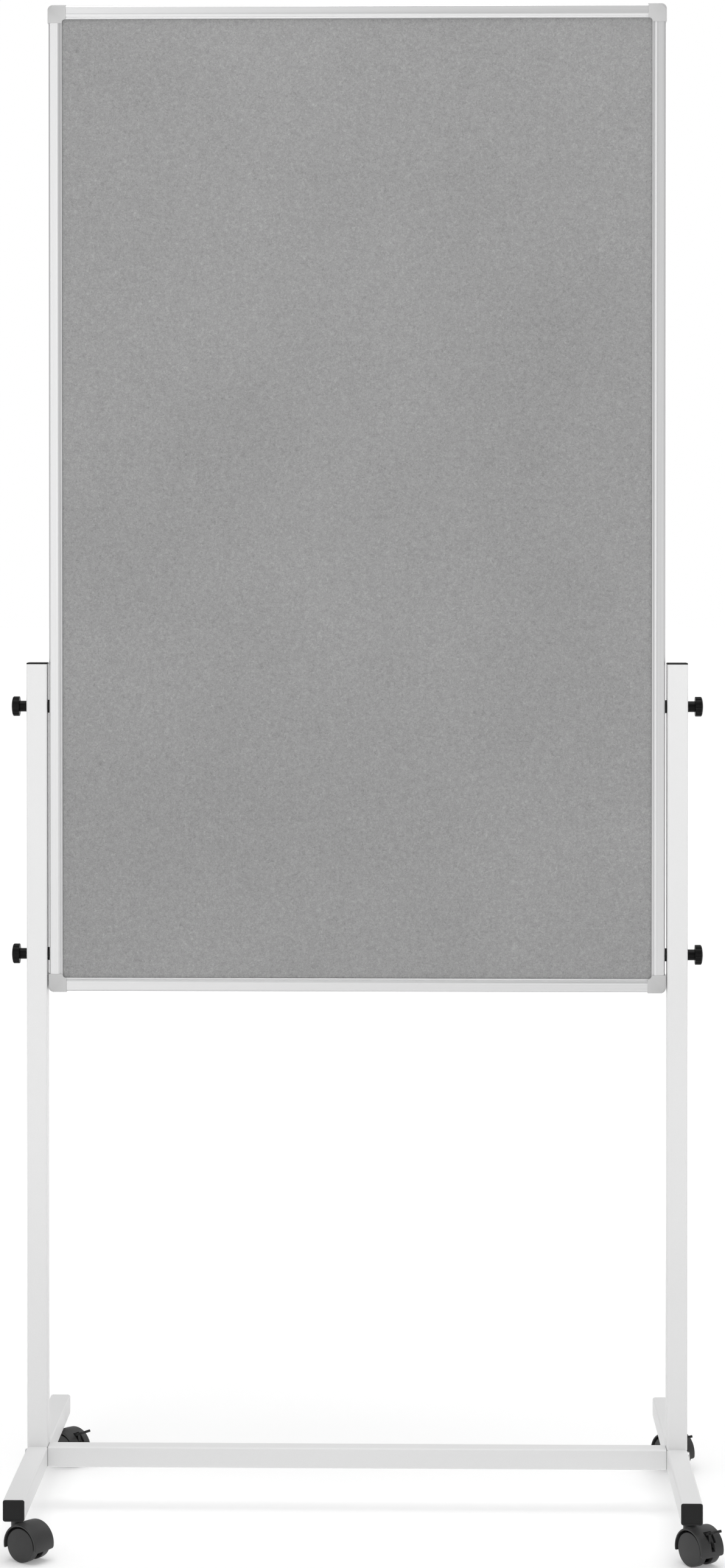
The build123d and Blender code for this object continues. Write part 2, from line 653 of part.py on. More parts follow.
# plain hood: a crowned arch over both wheels, a boss for the stem and a plate
# between the wheels that carries the axle
with BuildPart() as hood_plain:
    with BuildSketch(Plane.XY.offset(28)):
        Circle(BOSS_R)
    extrude(amount=BOSS_TOP - 28)
    chamfer(hood_plain.faces().sort_by(Axis.Z)[-1].edges(), length=0.5)
    with BuildSketch(Plane.XZ.offset(-25)):
        with Locations((TRAIL, WHEEL_R)):
            Circle(HOOD_IN_EDGE + 0.3)
    extrude(amount=50, mode=Mode.SUBTRACT)
    with BuildSketch(radial_plane(HOOD_START)):
        with BuildLine():
            shoulder = HOOD_HALF - 2.2
            ThreePointArc(
                (-shoulder, HOOD_R_SHOULDER),
                (0, HOOD_R_MID),
                (shoulder, HOOD_R_SHOULDER),
            )
            for s in (-1, 1):
                ThreePointArc(
                    (s * shoulder, HOOD_R_SHOULDER),
                    (s * (HOOD_HALF - 0.75), HOOD_R_SHOULDER - 0.3),
                    (s * HOOD_HALF, HOOD_R_EDGE),
                )
            Line((HOOD_HALF, HOOD_R_EDGE), (HOOD_HALF, HOOD_IN_EDGE))
            ThreePointArc(
                (HOOD_HALF, HOOD_IN_EDGE), (0, HOOD_IN_MID), (-HOOD_HALF, HOOD_IN_EDGE)
            )
            Line((-HOOD_HALF, HOOD_IN_EDGE), (-HOOD_HALF, HOOD_R_EDGE))
        make_face()
    revolve(axis=AXLE_LINE, revolution_arc=HOOD_ARC)
    # rounded corners at the two ends of the arch
    for angle, radius, turn in (
        (HOOD_START, 4.0, 1),
        (HOOD_START + HOOD_ARC, 2.5, -1),
    ):
        lean = angle + turn * math.degrees(0.6 * radius / HOOD_R_MID)
        a = math.radians(lean)
        end = HOOD_R_MID * math.sin(math.radians(turn * (lean - angle)))
        with BuildSketch(
            Plane(
                origin=(
                    TRAIL + 18 * math.cos(a),
                    0,
                    WHEEL_R + 18 * math.sin(a),
                ),
                x_dir=(0, 1, 0),
                z_dir=(math.cos(a), 0, math.sin(a)),
            )
        ):
            for s in (-1, 1):
                with BuildLine():
                    near = s * (HOOD_HALF - radius)
                    far = s * (HOOD_HALF + 2)
                    low = -turn * (end + 4)
                    edge = -turn * end
                    back = -turn * (end - radius)
                    bend = radius * math.sqrt(0.5)
                    Line((near, low), (near, edge))
                    ThreePointArc(
                        (near, edge),
                        (near + s * bend, back - turn * bend),
                        (s * HOOD_HALF, back),
                    )
                    Line((s * HOOD_HALF, back), (far, back))
                    Line((far, back), (far, low))
                    Line((far, low), (near, low))
                make_face()
        extrude(amount=12, mode=Mode.SUBTRACT)
    # plate between the wheels
    with BuildSketch(Plane.XZ.offset(-SPINE)) as spine:
        with Locations((TRAIL, WHEEL_R)):
            Circle(HOOD_IN_MID + 0.4)
        with BuildLine():
            Polyline(
                (TRAIL + 5, WHEEL_R),
                (TRAIL + 9, 50),
                (-12, 50),
                (-12, WHEEL_R + 4),
                (TRAIL - 5, WHEEL_R - 5),
                close=True,
            )
        make_face(mode=Mode.INTERSECT)
        with Locations((TRAIL, WHEEL_R)):
            Circle(HUB_R)
    extrude(amount=2 * SPINE)
    # bore for the stem
    with BuildSketch(Plane.XY.offset(BORE_FLOOR)):
        Circle(STEM_R + 0.05)
    extrude(amount=20, mode=Mode.SUBTRACT)
    # seat of the axle
    with BuildSketch(Plane.XZ.offset(-SPINE - 1)):
        with Locations((TRAIL, WHEEL_R)):
            Circle(AXLE_R + 0.02)
    extrude(amount=2 * SPINE + 2, mode=Mode.SUBTRACT)

# hood with a brake: two cheeks that carry the lever's pivot, and a slot that is
# wider at its upper end, where the pedal comes through
with BuildPart() as hood_brake:
    add(hood_plain.part)
    for side in (-1, 1):
        y0 = side * (CHEEK_IN + CHEEK_OUT) / 2
        with BuildSketch(Plane.XZ.offset(-y0 - (CHEEK_OUT - CHEEK_IN) / 2)) as cheek:
            with Locations((TRAIL, WHEEL_R)):
                Circle(HOOD_IN_MID + 0.3)
            with BuildLine():
                Polyline(
                    (PIVOT[0] - 3.5, PIVOT[1] - 3.5),
                    (PIVOT[0] + 2.5, PIVOT[1] - 3.5),
                    (TRAIL + 28, WHEEL_R + 3.0),
                    (TRAIL + 10, WHEEL_R + 30),
                    (PIVOT[0] - 3.5, PIVOT[1] + 4.0),
                    close=True,
                )
            make_face(mode=Mode.INTERSECT)
        extrude(amount=CHEEK_OUT - CHEEK_IN)
    with BuildSketch(radial_plane(2.0)):
        with Locations((0, HOOD_R_MID)):
            Rectangle(2 * CHEEK_IN + 0.4, 5.0)
    revolve(axis=AXLE_LINE, revolution_arc=56, mode=Mode.SUBTRACT)
    with BuildSketch(radial_plane(24.0)):
        with Locations((0, HOOD_R_MID)):
            Rectangle(11.4, 5.0)
    revolve(axis=AXLE_LINE, revolution_arc=34, mode=Mode.SUBTRACT)
    with BuildSketch(Plane.XZ.offset(-CHEEK_OUT - 1)):
        with Locations(PIVOT):
            Circle(PIVOT_R + 0.05)
    extrude(amount=2 * CHEEK_OUT + 2, mode=Mode.SUBTRACT)

with BuildPart() as axle_pin:
    with BuildSketch(Plane.XZ.offset(-(WHEEL_OUT - 2.3))):
        with Locations((TRAIL, WHEEL_R)):
            Circle(AXLE_R)
    extrude(amount=2 * (WHEEL_OUT - 2.3))
    chamfer(
        axle_pin.edges().group_by(Axis.Y)[0] + axle_pin.edges().group_by(Axis.Y)[-1],
        length=0.4,
    )

# one wheel: tread, slightly domed outer disc, and a hub inside the open cup
with BuildPart() as wheel_turned:
    with BuildSketch(radial_plane(90)):
        with BuildLine():
            seat = WHEEL_OUT - 2.0
            rim = WHEEL_OUT - 0.9
            tread = WHEEL_OUT - 4.6
            cup = WHEEL_OUT - 3.5
            Line((seat, 0), (WHEEL_OUT + 0.1, 0))
            ThreePointArc(
                (WHEEL_OUT + 0.1, 0), (WHEEL_OUT - 0.15, 9.5), (rim, 18.95)
            )
            ThreePointArc((rim, 18.95), (rim - 0.25, 19.43), (rim - 0.9, 19.65))
            Line((rim - 0.9, 19.65), (tread, WHEEL_R))
            Line((tread, WHEEL_R), (WHEEL_IN + 0.5, WHEEL_R))
            Line((WHEEL_IN + 0.5, WHEEL_R), (WHEEL_IN, WHEEL_R - 0.5))
            Line((WHEEL_IN, WHEEL_R - 0.5), (WHEEL_IN, 17.4))
            Line((WHEEL_IN, 17.4), (cup, 17.2))
            Line((cup, 17.2), (cup + 0.4, 5.6))
            Line((cup + 0.4, 5.6), (WHEEL_IN, 5.4))
            Line((WHEEL_IN, 5.4), (WHEEL_IN, AXLE_R + 0.05))
            Line((WHEEL_IN, AXLE_R + 0.05), (seat, AXLE_R + 0.05))
            Line((seat, AXLE_R + 0.05), (seat, 0))
        make_face()
    revolve(axis=AXLE_LINE, revolution_arc=360)

with BuildPart() as wheel_turned_other:
    mirror(wheel_turned.part, about=Plane.XZ)

# pedal of the brake: a neck that widens into a rounded paddle, rising outwards
with BuildPart() as pedal_blank:
    with BuildSketch(
        Plane(
            origin=(PIVOT[0] + 2.6, 0, PIVOT[1] + 8.3),
            x_dir=(math.cos(PEDAL_RISE), 0, math.sin(PEDAL_RISE)),
            z_dir=(-math.sin(PEDAL_RISE), 0, math.cos(PEDAL_RISE)),
        )
    ) as pedal:
        with BuildLine():
            Polyline(
                (-1.5, -5.0),
                (3.0, -5.0),
                (6.0, -3.6),
                (11.2, -3.6),
                (13.4, -6.4),
                (18.8, -6.4),
                (18.8, 6.4),
                (13.4, 6.4),
                (11.2, 3.6),
                (6.0, 3.6),
                (3.0, 5.0),
                (-1.5, 5.0),
                close=True,
            )
        make_face()
        fillet(pedal.vertices().group_by(Axis.X)[-1], radius=2.0)
        fillet(pedal.vertices().group_by(Axis.X)[1:3], radius=1.0)
    extrude(amount=PEDAL_T)
    fillet(
        pedal_blank.faces()
        .filter_by(lambda f: abs(f.normal_at().Z) > 0.9)
        .edges(),
        radius=0.6,
    )

# brake lever: body on its pivot between the cheeks, foot that wedges the wheels,
# and the pedal that stands out of the hood's slot
with BuildPart() as lever_plain:
    with BuildSketch(Plane.XZ.offset(-LEVER_HALF)) as lever_side:
        with Locations(PIVOT):
            Circle(3.1)
        with BuildLine():
            Polyline(
                (PIVOT[0] - 2.6, PIVOT[1] + 1.4),
                (PIVOT[0] + 0.4, PIVOT[1] + 9.4),
                (PIVOT[0] + 5.2, PIVOT[1] + 10.0),
                (PIVOT[0] + 6.4, PIVOT[1] + 2.0),
                (PIVOT[0] + 6.6, PIVOT[1] - 7.6),
                (PIVOT[0] + 3.0, PIVOT[1] - 9.0),
                (PIVOT[0] + 1.2, PIVOT[1] - 2.6),
                close=True,
            )
        make_face()
    extrude(amount=2 * LEVER_HALF)
    # wedge foot
    with BuildSketch(Plane.XZ.offset(-4.4)):
        with Locations((PIVOT[0] + 4.4, PIVOT[1] - 7.6)):
            Circle(1.5)
    extrude(amount=8.8)
    # pivot
    with BuildSketch(Plane.XZ.offset(-CHEEK_OUT)):
        with Locations(PIVOT):
            Circle(PIVOT_R)
    extrude(amount=2 * CHEEK_OUT)
    add(pedal_blank.part)


def caster_spot(x, y, heading):
    """Where a caster stands, and which way it trails."""
    return Location((x, y, 0), (0, 0, heading))


caster_parts = []
for name, x, y, heading, brake in CASTERS:
    spot = caster_spot(x, y, heading)
    with BuildPart() as hood:
        with Locations(spot):
            add(hood_brake.part if brake else hood_plain.part)
    hood.part.label = f"hood_{name}"
    with BuildPart() as axle:
        with Locations(spot):
            add(axle_pin.part)
    axle.part.label = f"axle_{name}"
    with BuildPart() as wheel_a:
        with Locations(spot):
            add(wheel_turned.part)
    wheel_a.part.label = f"wheel_{name}_a"
    with BuildPart() as wheel_b:
        with Locations(spot):
            add(wheel_turned_other.part)
    wheel_b.part.label = f"wheel_{name}_b"
    caster_parts += [hood.part, axle.part, wheel_a.part, wheel_b.part]
    if brake:
        with BuildPart() as lever:
            with Locations(spot):
                add(lever_plain.part)
        lever.part.label = f"brake_{name}"
        caster_parts.append(lever.part)

# ---------------------------------------------------------------------- export
export_step(upright_left.part, "parts/upright_left.step")
export_step(upright_right.part, "parts/upright_right.step")
export_step(foot_left.part, "parts/foot_left.step")
export_step(foot_right.part, "parts/foot_right.step")
export_step(crossbar.part, "parts/crossbar.step")
export_step(upright_cap_left.part, "parts/upright_cap_left.step")
export_step(upright_cap_right.part, "parts/upright_cap_right.step")
export_step(foot_cap_front_left.part, "parts/foot_cap_front_left.step")
export_step(foot_cap_front_right.part, "parts/foot_cap_front_right.step")
export_step(foot_cap_rear_left.part, "parts/foot_cap_rear_left.step")
export_step(foot_cap_rear_right.part, "parts/foot_cap_rear_right.step")
export_step(upright_plugs.part, "parts/upright_plugs.step")
export_step(upright_bolts.part, "parts/upright_bolts.step")
export_step(crossbar_plugs.part, "parts/crossbar_plugs.step")
export_step(crossbar_bolts.part, "parts/crossbar_bolts.step")
export_step(caster_inserts.part, "parts/caster_inserts.step")
export_step(caster_stems.part, "parts/caster_stems.step")
export_step(spacer_washers.part, "parts/spacer_washers.step")
export_step(slide_nuts.part, "parts/slide_nuts.step")
export_step(frame_left.part, "parts/frame_left.step")
export_step(frame_right.part, "parts/frame_right.step")
export_step(frame_bottom.part, "parts/frame_bottom.step")
export_step(frame_top.part, "parts/frame_top.step")
export_step(corner_bottom_left.part, "parts/corner_bottom_left.step")
export_step(corner_bottom_right.part, "parts/corner_bottom_right.step")
export_step(corner_top_left.part, "parts/corner_top_left.step")
export_step(corner_top_right.part, "parts/corner_top_right.step")
export_step(corner_screws.part, "parts/corner_screws.step")
export_step(felt_cover.part, "parts/felt_cover.step")
export_step(pinboard_core.part, "parts/pinboard_core.step")
export_step(backing_board.part, "parts/backing_board.step")
export_step(whiteboard_sheet.part, "parts/whiteboard_sheet.step")
for piece in (
    knob_upper_left.part,
    knob_lower_left.part,
    knob_upper_right.part,
    knob_lower_right.part,
    stud_upper_left.part,
    stud_lower_left.part,
    stud_upper_right.part,
    stud_lower_right.part,
    *caster_parts,
):
    export_step(piece, f"parts/{piece.label}.step")
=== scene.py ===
"""Rolling board: looks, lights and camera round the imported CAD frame."""

import json

import bpy
import numpy as np
from mathutils import Matrix, Vector


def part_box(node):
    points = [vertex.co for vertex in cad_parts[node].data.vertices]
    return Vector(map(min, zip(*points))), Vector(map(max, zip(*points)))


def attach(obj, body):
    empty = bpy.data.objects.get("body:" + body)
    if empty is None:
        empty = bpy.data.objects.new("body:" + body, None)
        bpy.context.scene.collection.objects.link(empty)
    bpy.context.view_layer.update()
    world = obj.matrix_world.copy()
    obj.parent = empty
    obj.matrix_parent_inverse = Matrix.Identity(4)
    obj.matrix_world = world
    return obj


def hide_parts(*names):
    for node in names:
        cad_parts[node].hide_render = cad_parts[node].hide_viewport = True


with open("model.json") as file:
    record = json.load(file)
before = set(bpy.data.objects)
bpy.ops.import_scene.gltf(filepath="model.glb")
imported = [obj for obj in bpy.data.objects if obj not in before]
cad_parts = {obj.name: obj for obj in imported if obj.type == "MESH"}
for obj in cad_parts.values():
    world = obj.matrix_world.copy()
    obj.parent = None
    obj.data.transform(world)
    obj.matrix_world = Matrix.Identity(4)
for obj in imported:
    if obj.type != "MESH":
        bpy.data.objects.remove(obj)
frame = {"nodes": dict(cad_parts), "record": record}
nodes = frame["nodes"]
scene = bpy.context.scene
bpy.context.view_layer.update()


# ------------------------------------------------------------ material building
class Look:
    """A Principled material with a few helpers for procedural patterns. Every
    pattern reads the object's own coordinates, which are the row frame."""

    def __init__(self, name, colour, roughness, metallic=0.0, specular=0.5):
        self.material = bpy.data.materials.new(name)
        self.material.use_nodes = True
        self.tree = self.material.node_tree
        self.shader = self.tree.nodes["Principled BSDF"]
        self.shader.inputs["Base Color"].default_value = (*colour, 1.0)
        self.shader.inputs["Roughness"].default_value = roughness
        self.shader.inputs["Metallic"].default_value = metallic
        self.shader.inputs["Specular IOR Level"].default_value = specular
        self.coords = self.tree.nodes.new("ShaderNodeTexCoord").outputs["Object"]
        self.normal = None

    def link(self, a, b):
        self.tree.links.new(a, b)

    def stretched(self, scale, turn=(0.0, 0.0, 0.0)):
        """Object coordinates scaled by a factor for each axis."""
        node = self.tree.nodes.new("ShaderNodeMapping")
        node.inputs["Scale"].default_value = scale
        node.inputs["Rotation"].default_value = turn
        self.link(self.coords, node.inputs["Vector"])
        return node.outputs["Vector"]

    def noise(self, scale, detail=3.0, rough=0.55, where=None, distortion=0.0):
        node = self.tree.nodes.new("ShaderNodeTexNoise")
        node.inputs["Scale"].default_value = scale
        node.inputs["Detail"].default_value = detail
        node.inputs["Roughness"].default_value = rough
        node.inputs["Distortion"].default_value = distortion
        self.link(self.coords if where is None else where, node.inputs["Vector"])
        return node.outputs["Fac"]

    def voronoi(self, scale, feature="F1", where=None):
        node = self.tree.nodes.new("ShaderNodeTexVoronoi")
        node.feature = feature
        node.inputs["Scale"].default_value = scale
        self.link(self.coords if where is None else where, node.inputs["Vector"])
        return node.outputs["Distance"]

    def wave(self, scale, direction="Z", distortion=0.0, where=None):
        node = self.tree.nodes.new("ShaderNodeTexWave")
        node.wave_type = "BANDS"
        node.bands_direction = direction
        node.inputs["Scale"].default_value = scale
        node.inputs["Distortion"].default_value = distortion
        self.link(self.coords if where is None else where, node.inputs["Vector"])
        return node.outputs["Fac"]

    def span(self, value, low, high, out_low=0.0, out_high=1.0, smooth=False):
        node = self.tree.nodes.new("ShaderNodeMapRange")
        node.interpolation_type = "SMOOTHSTEP" if smooth else "LINEAR"
        node.inputs["From Min"].default_value = low
        node.inputs["From Max"].default_value = high
        node.inputs["To Min"].default_value = out_low
        node.inputs["To Max"].default_value = out_high
        self.link(value, node.inputs["Value"])
        return node.outputs["Result"]

    def maths(self, kind, a, b):
        node = self.tree.nodes.new("ShaderNodeMath")
        node.operation = kind
        for socket, value in zip(node.inputs, (a, b)):
            if isinstance(value, (int, float)):
                socket.default_value = value
            else:
                self.link(value, socket)
        return node.outputs["Value"]

    def axis(self, index):
        node = self.tree.nodes.new("ShaderNodeSeparateXYZ")
        self.link(self.coords, node.inputs["Vector"])
        return node.outputs[index]

    def pointiness(self):
        return self.tree.nodes.new("ShaderNodeNewGeometry").outputs["Pointiness"]

    def colours(self, factor, *stops):
        """Colour from a factor through stops of (place, (r, g, b))."""
        node = self.tree.nodes.new("ShaderNodeValToRGB")
        ramp = node.color_ramp
        while len(ramp.elements) < len(stops):
            ramp.elements.new(0.5)
        for element, (place, colour) in zip(ramp.elements, stops):
            element.position = place
            element.color = (*colour, 1.0)
        self.link(factor, node.inputs["Fac"])
        self.link(node.outputs["Color"], self.shader.inputs["Base Color"])
        return node.outputs["Color"]

    def mixed(self, factor, a, b):
        """Colour a where factor is 0 and b where it is 1, each an output or (r, g, b)."""
        node = self.tree.nodes.new("ShaderNodeMix")
        node.data_type = "RGBA"
        self.link(factor, node.inputs[0])
        for socket, value in ((node.inputs[6], a), (node.inputs[7], b)):
            if isinstance(value, tuple):
                socket.default_value = (*value, 1.0)
            else:
                self.link(value, socket)
        self.link(node.outputs[2], self.shader.inputs["Base Color"])
        return node.outputs[2]

    def roughness(self, value, low, high, out_low, out_high):
        self.link(
            self.span(value, low, high, out_low, out_high),
            self.shader.inputs["Roughness"],
        )

    def bump(self, height, distance, strength=1.0):
        """Adds relief of that distance in metres on top of any before it."""
        node = self.tree.nodes.new("ShaderNodeBump")
        node.inputs["Strength"].default_value = strength
        node.inputs["Distance"].default_value = distance
        self.link(height, node.inputs["Height"])
        if self.normal is not None:
            self.link(self.normal, node.inputs["Normal"])
        self.normal = node.outputs["Normal"]
        self.link(self.normal, self.shader.inputs["Normal"])


def grey(v):
    return (v, v, v)


# --------------------------------------------------------- white powder coating
def powder_coat():
    look = Look("powder_coat_white", grey(0.80), 0.42)
    cloud = look.noise(2.6, 2.0)
    peel = look.noise(620.0, 2.0, 0.5)
    speck = look.voronoi(1150.0)
    look.colours(
        look.maths("ADD", look.maths("MULTIPLY", cloud, 0.75), look.maths("MULTIPLY", peel, 0.25)),
        (0.3, (0.755, 0.755, 0.755)),
        (0.52, (0.78, 0.78, 0.78)),
        (0.72, (0.80, 0.80, 0.80)),
    )
    look.roughness(peel, 0.3, 0.7, 0.36, 0.48)
    look.bump(peel, 0.00008, 0.55)
    look.bump(speck, 0.00003, 0.35)
    return look.material


# ---------------------------------------------- silver anodised extruded profile
def anodised(name, along):
    """Anodised aluminium with fine die lines along one axis."""
    look = Look(name, grey(0.74), 0.34, metallic=1.0)
    fine = [1500.0, 1500.0, 1500.0]
    broad = [260.0, 260.0, 260.0]
    fine[along], broad[along] = 3.0, 1.2
    lines = look.noise(1.0, 3.0, 0.6, where=look.stretched(fine))
    bands = look.noise(1.0, 2.0, 0.5, where=look.stretched(broad))
    grain = look.noise(2400.0, 1.0, 0.5)
    both = look.maths(
        "ADD", look.maths("MULTIPLY", lines, 0.55), look.maths("MULTIPLY", bands, 0.45)
    )
    look.colours(
        both,
        (0.28, (0.60, 0.60, 0.605)),
        (0.5, (0.64, 0.64, 0.642)),
        (0.75, (0.68, 0.68, 0.68)),
    )
    look.roughness(both, 0.3, 0.7, 0.36, 0.48)
    look.bump(lines, 0.00003, 0.5)
    look.bump(grain, 0.00001, 0.35)
    return look.material


# ------------------------------------------------------------- moulded plastics
def moulded(
    name,
    dark,
    light,
    roughness,
    specular=0.5,
    grain=1300.0,
    relief=0.00004,
    spread=0.06,
):
    """Moulded plastic with a fine eroded grain, and sharp convex edges painted lighter as a
    painted edge highlight.
    """
    look = Look(name, light, roughness, specular=specular)
    fine = look.noise(grain, 2.0, 0.6)
    pits = look.voronoi(grain * 0.8)
    cloud = look.noise(38.0, 3.0, 0.6)
    # painted highlight: the mask is high on sharp convex edges (high pointiness)
    edge = look.span(look.pointiness(), 0.5, 0.62, 0.0, 1.0, smooth=True)
    tone = look.maths(
        "ADD", look.maths("MULTIPLY", cloud, 0.6), look.maths("MULTIPLY", fine, 0.4)
    )
    base = look.colours(tone, (0.3, dark), (0.72, light))
    # painted edge highlight colour: the plastic's own colour brightened, mixed in on the sharp
    # edges
    painted_edge_highlight = tuple(min(1.0, c * 1.35 + 0.004) for c in light)
    look.mixed(look.maths("MULTIPLY", edge, 0.5), base, painted_edge_highlight)
    look.roughness(tone, 0.3, 0.7, roughness - spread, roughness + spread)
    look.bump(fine, relief, 0.6)
    look.bump(pits, relief * 0.6, 0.4)
    return look.material


def wheel_nylon():
    """Wheel: satin nylon disc, with a little floor dust and scuffing on the tread."""
    look = Look("wheel_nylon_black", grey(0.04), 0.42)
    fine = look.noise(900.0, 2.0, 0.6)
    cloud = look.noise(55.0, 3.0, 0.6)
    dust = look.noise(240.0, 4.0, 0.65)
    base = look.colours(cloud, (0.3, grey(0.017)), (0.7, grey(0.027)))
    low = look.span(look.axis(2), 0.0, 0.004, 1.0, 0.0, smooth=True)
    patch = look.span(dust, 0.48, 0.62, 0.0, 0.4, smooth=True)
    look.mixed(look.maths("MULTIPLY", low, patch), base, (0.12, 0.115, 0.105))
    look.roughness(cloud, 0.3, 0.7, 0.36, 0.48)
    look.bump(fine, 0.00003, 0.5)
    return look.material


# -------------------------------------------------------------------- the rest
def zinc():
    look = Look("zinc_plate", grey(0.62), 0.3, metallic=1.0)
    flakes = look.voronoi(420.0)
    cloud = look.noise(90.0, 4.0, 0.6)
    look.colours(cloud, (0.3, (0.55, 0.55, 0.56)), (0.7, (0.68, 0.68, 0.67)))
    look.roughness(flakes, 0.1, 0.7, 0.24, 0.42)
    look.bump(cloud, 0.00004, 0.3)
    return look.material


def enamel():
    """Writing surface: gloss enamel with a trace of orange peel and old wipe marks."""
    look = Look("enamel_white", grey(0.83), 0.14)
    wipe = look.noise(1.0, 3.0, 0.6, where=look.stretched((3.0, 3.0, 9.0), (0, 0.35, 0)))
    peel = look.noise(150.0, 2.0, 0.5)
    look.colours(wipe, (0.35, (0.815, 0.818, 0.822)), (0.65, (0.845, 0.846, 0.847)))
    look.roughness(wipe, 0.35, 0.68, 0.11, 0.22)
    look.bump(peel, 0.00003, 0.25)
    look.shader.inputs["Coat Weight"].default_value = 0.3
    look.shader.inputs["Coat Roughness"].default_value = 0.08
    return look.material


def fibreboard():
    look = Look("soft_fibreboard", (0.45, 0.36, 0.25), 0.9, specular=0.2)
    fibre = look.noise(1.0, 4.0, 0.7, where=look.stretched((260.0, 900.0, 420.0)), distortion=1.2)
    look.colours(fibre, (0.3, (0.36, 0.28, 0.19)), (0.7, (0.52, 0.43, 0.31)))
    look.roughness(fibre, 0.3, 0.7, 0.82, 0.95)
    look.bump(fibre, 0.0003, 0.8)
    return look.material


def hardboard():
    look = Look("hardboard", (0.26, 0.16, 0.09), 0.6, specular=0.3)
    fibre = look.noise(1.0, 4.0, 0.7, where=look.stretched((300.0, 1200.0, 300.0)), distortion=0.8)
    look.colours(fibre, (0.3, (0.20, 0.12, 0.065)), (0.7, (0.32, 0.20, 0.11)))
    look.roughness(fibre, 0.3, 0.7, 0.5, 0.7)
    look.bump(fibre, 0.0001, 0.6)
    return look.material


def felt():
    """Needle felt: matted fibres in short random strokes, with soft uneven tone."""
    look = Look("needle_felt_grey", grey(0.36), 0.95, specular=0.12)
    look.shader.inputs["Sheen Weight"].default_value = 0.16
    look.shader.inputs["Sheen Roughness"].default_value = 0.6
    mats = look.noise(210.0, 4.0, 0.72, distortion=0.6)
    fluff = look.noise(520.0, 3.0, 0.7, distortion=1.4)
    strands_a = look.noise(
        1.0, 3.0, 0.65, where=look.stretched((1500.0, 700.0, 380.0), (0, 0.6, 0)), distortion=0.7
    )
    strands_b = look.noise(
        1.0, 3.0, 0.65, where=look.stretched((380.0, 700.0, 1500.0), (0, 0.5, 0)), distortion=0.7
    )
    broad = look.noise(3.2, 2.0, 0.5)
    tone = look.maths(
        "ADD",
        look.maths(
            "ADD", look.maths("MULTIPLY", mats, 0.26), look.maths("MULTIPLY", fluff, 0.36)
        ),
        look.maths(
            "ADD",
            look.maths("MULTIPLY", look.maths("ADD", strands_a, strands_b), 0.14),
            look.maths("MULTIPLY", broad, 0.10),
        ),
    )
    look.colours(
        tone,
        (0.38, grey(0.205)),
        (0.46, grey(0.282)),
        (0.54, grey(0.338)),
        (0.62, grey(0.430)),
    )
    look.roughness(tone, 0.3, 0.7, 0.88, 1.0)
    look.bump(mats, 0.0009, 0.45)
    look.bump(look.maths("ADD", strands_a, strands_b), 0.0004, 0.5)
    look.bump(fluff, 0.0005, 0.6)
    return look.material


SLOT_LOOKS = {
    "tube_white": powder_coat(),
    "cap_black": moulded("cap_plastic_black", grey(0.008), grey(0.014), 0.5, 0.22),
    "steel_zinc": zinc(),
    "spacer_black": moulded("spacer_plastic_black", grey(0.004), grey(0.008), 0.55, 0.15),
    "insert_plastic": moulded("socket_plastic_grey", grey(0.10), grey(0.14), 0.5, 0.3),
    "corner_grey": moulded(
        "corner_plastic_grey", grey(0.42), grey(0.46), 0.5, 0.35, 1000.0, 0.00005
    ),
    "fibreboard": fibreboard(),
    "hardboard": hardboard(),
    "writing_white": enamel(),
    "knob_black": moulded(
        "knob_plastic_black", grey(0.002), grey(0.004), 0.34, 0.10, 1100.0, 0.00003
    ),
    "hood_black": moulded(
        "hood_plastic_black", grey(0.030), grey(0.042), 0.46, 0.35, 900.0, 0.00006
    ),
    "wheel_black": wheel_nylon(),
    "brake_black": moulded("brake_plastic_black", grey(0.010), grey(0.018), 0.4, 0.35),
    "felt_grey": felt(),
}
anodised_upright = anodised("anodised_profile_upright", 2)
anodised_level = anodised("anodised_profile_level", 0)

for entry in frame["record"]["subparts"]:
    node, slot = nodes[entry["node"]], entry["material_slot"]
    if slot == "frame_aluminium":
        level = entry["node"] in ("frame_top", "frame_bottom")
        material = anodised_level if level else anodised_upright
    else:
        material = SLOT_LOOKS[slot]
    node.data.materials.clear()
    node.data.materials.append(material)


# ---------------------------------------------------------------- the felt cover
def smooth_field(rng, shape, spacing, low, high):
    """Seeded random relief whose bumps are low to high metres across, spread evenly about zero, with a deviation of 1."""
    field = np.fft.rfft2(rng.standard_normal(shape))
    fz = np.fft.fftfreq(shape[0], spacing)[:, None]
    fx = np.fft.rfftfreq(shape[1], spacing)[None, :]
    f = np.hypot(fz, fx)
    band = np.exp(-((f * low) ** 2)) * (1 - np.exp(-((f * high) ** 2)))
    field = np.fft.irfft2(field * band, shape)
    return field / field.std()


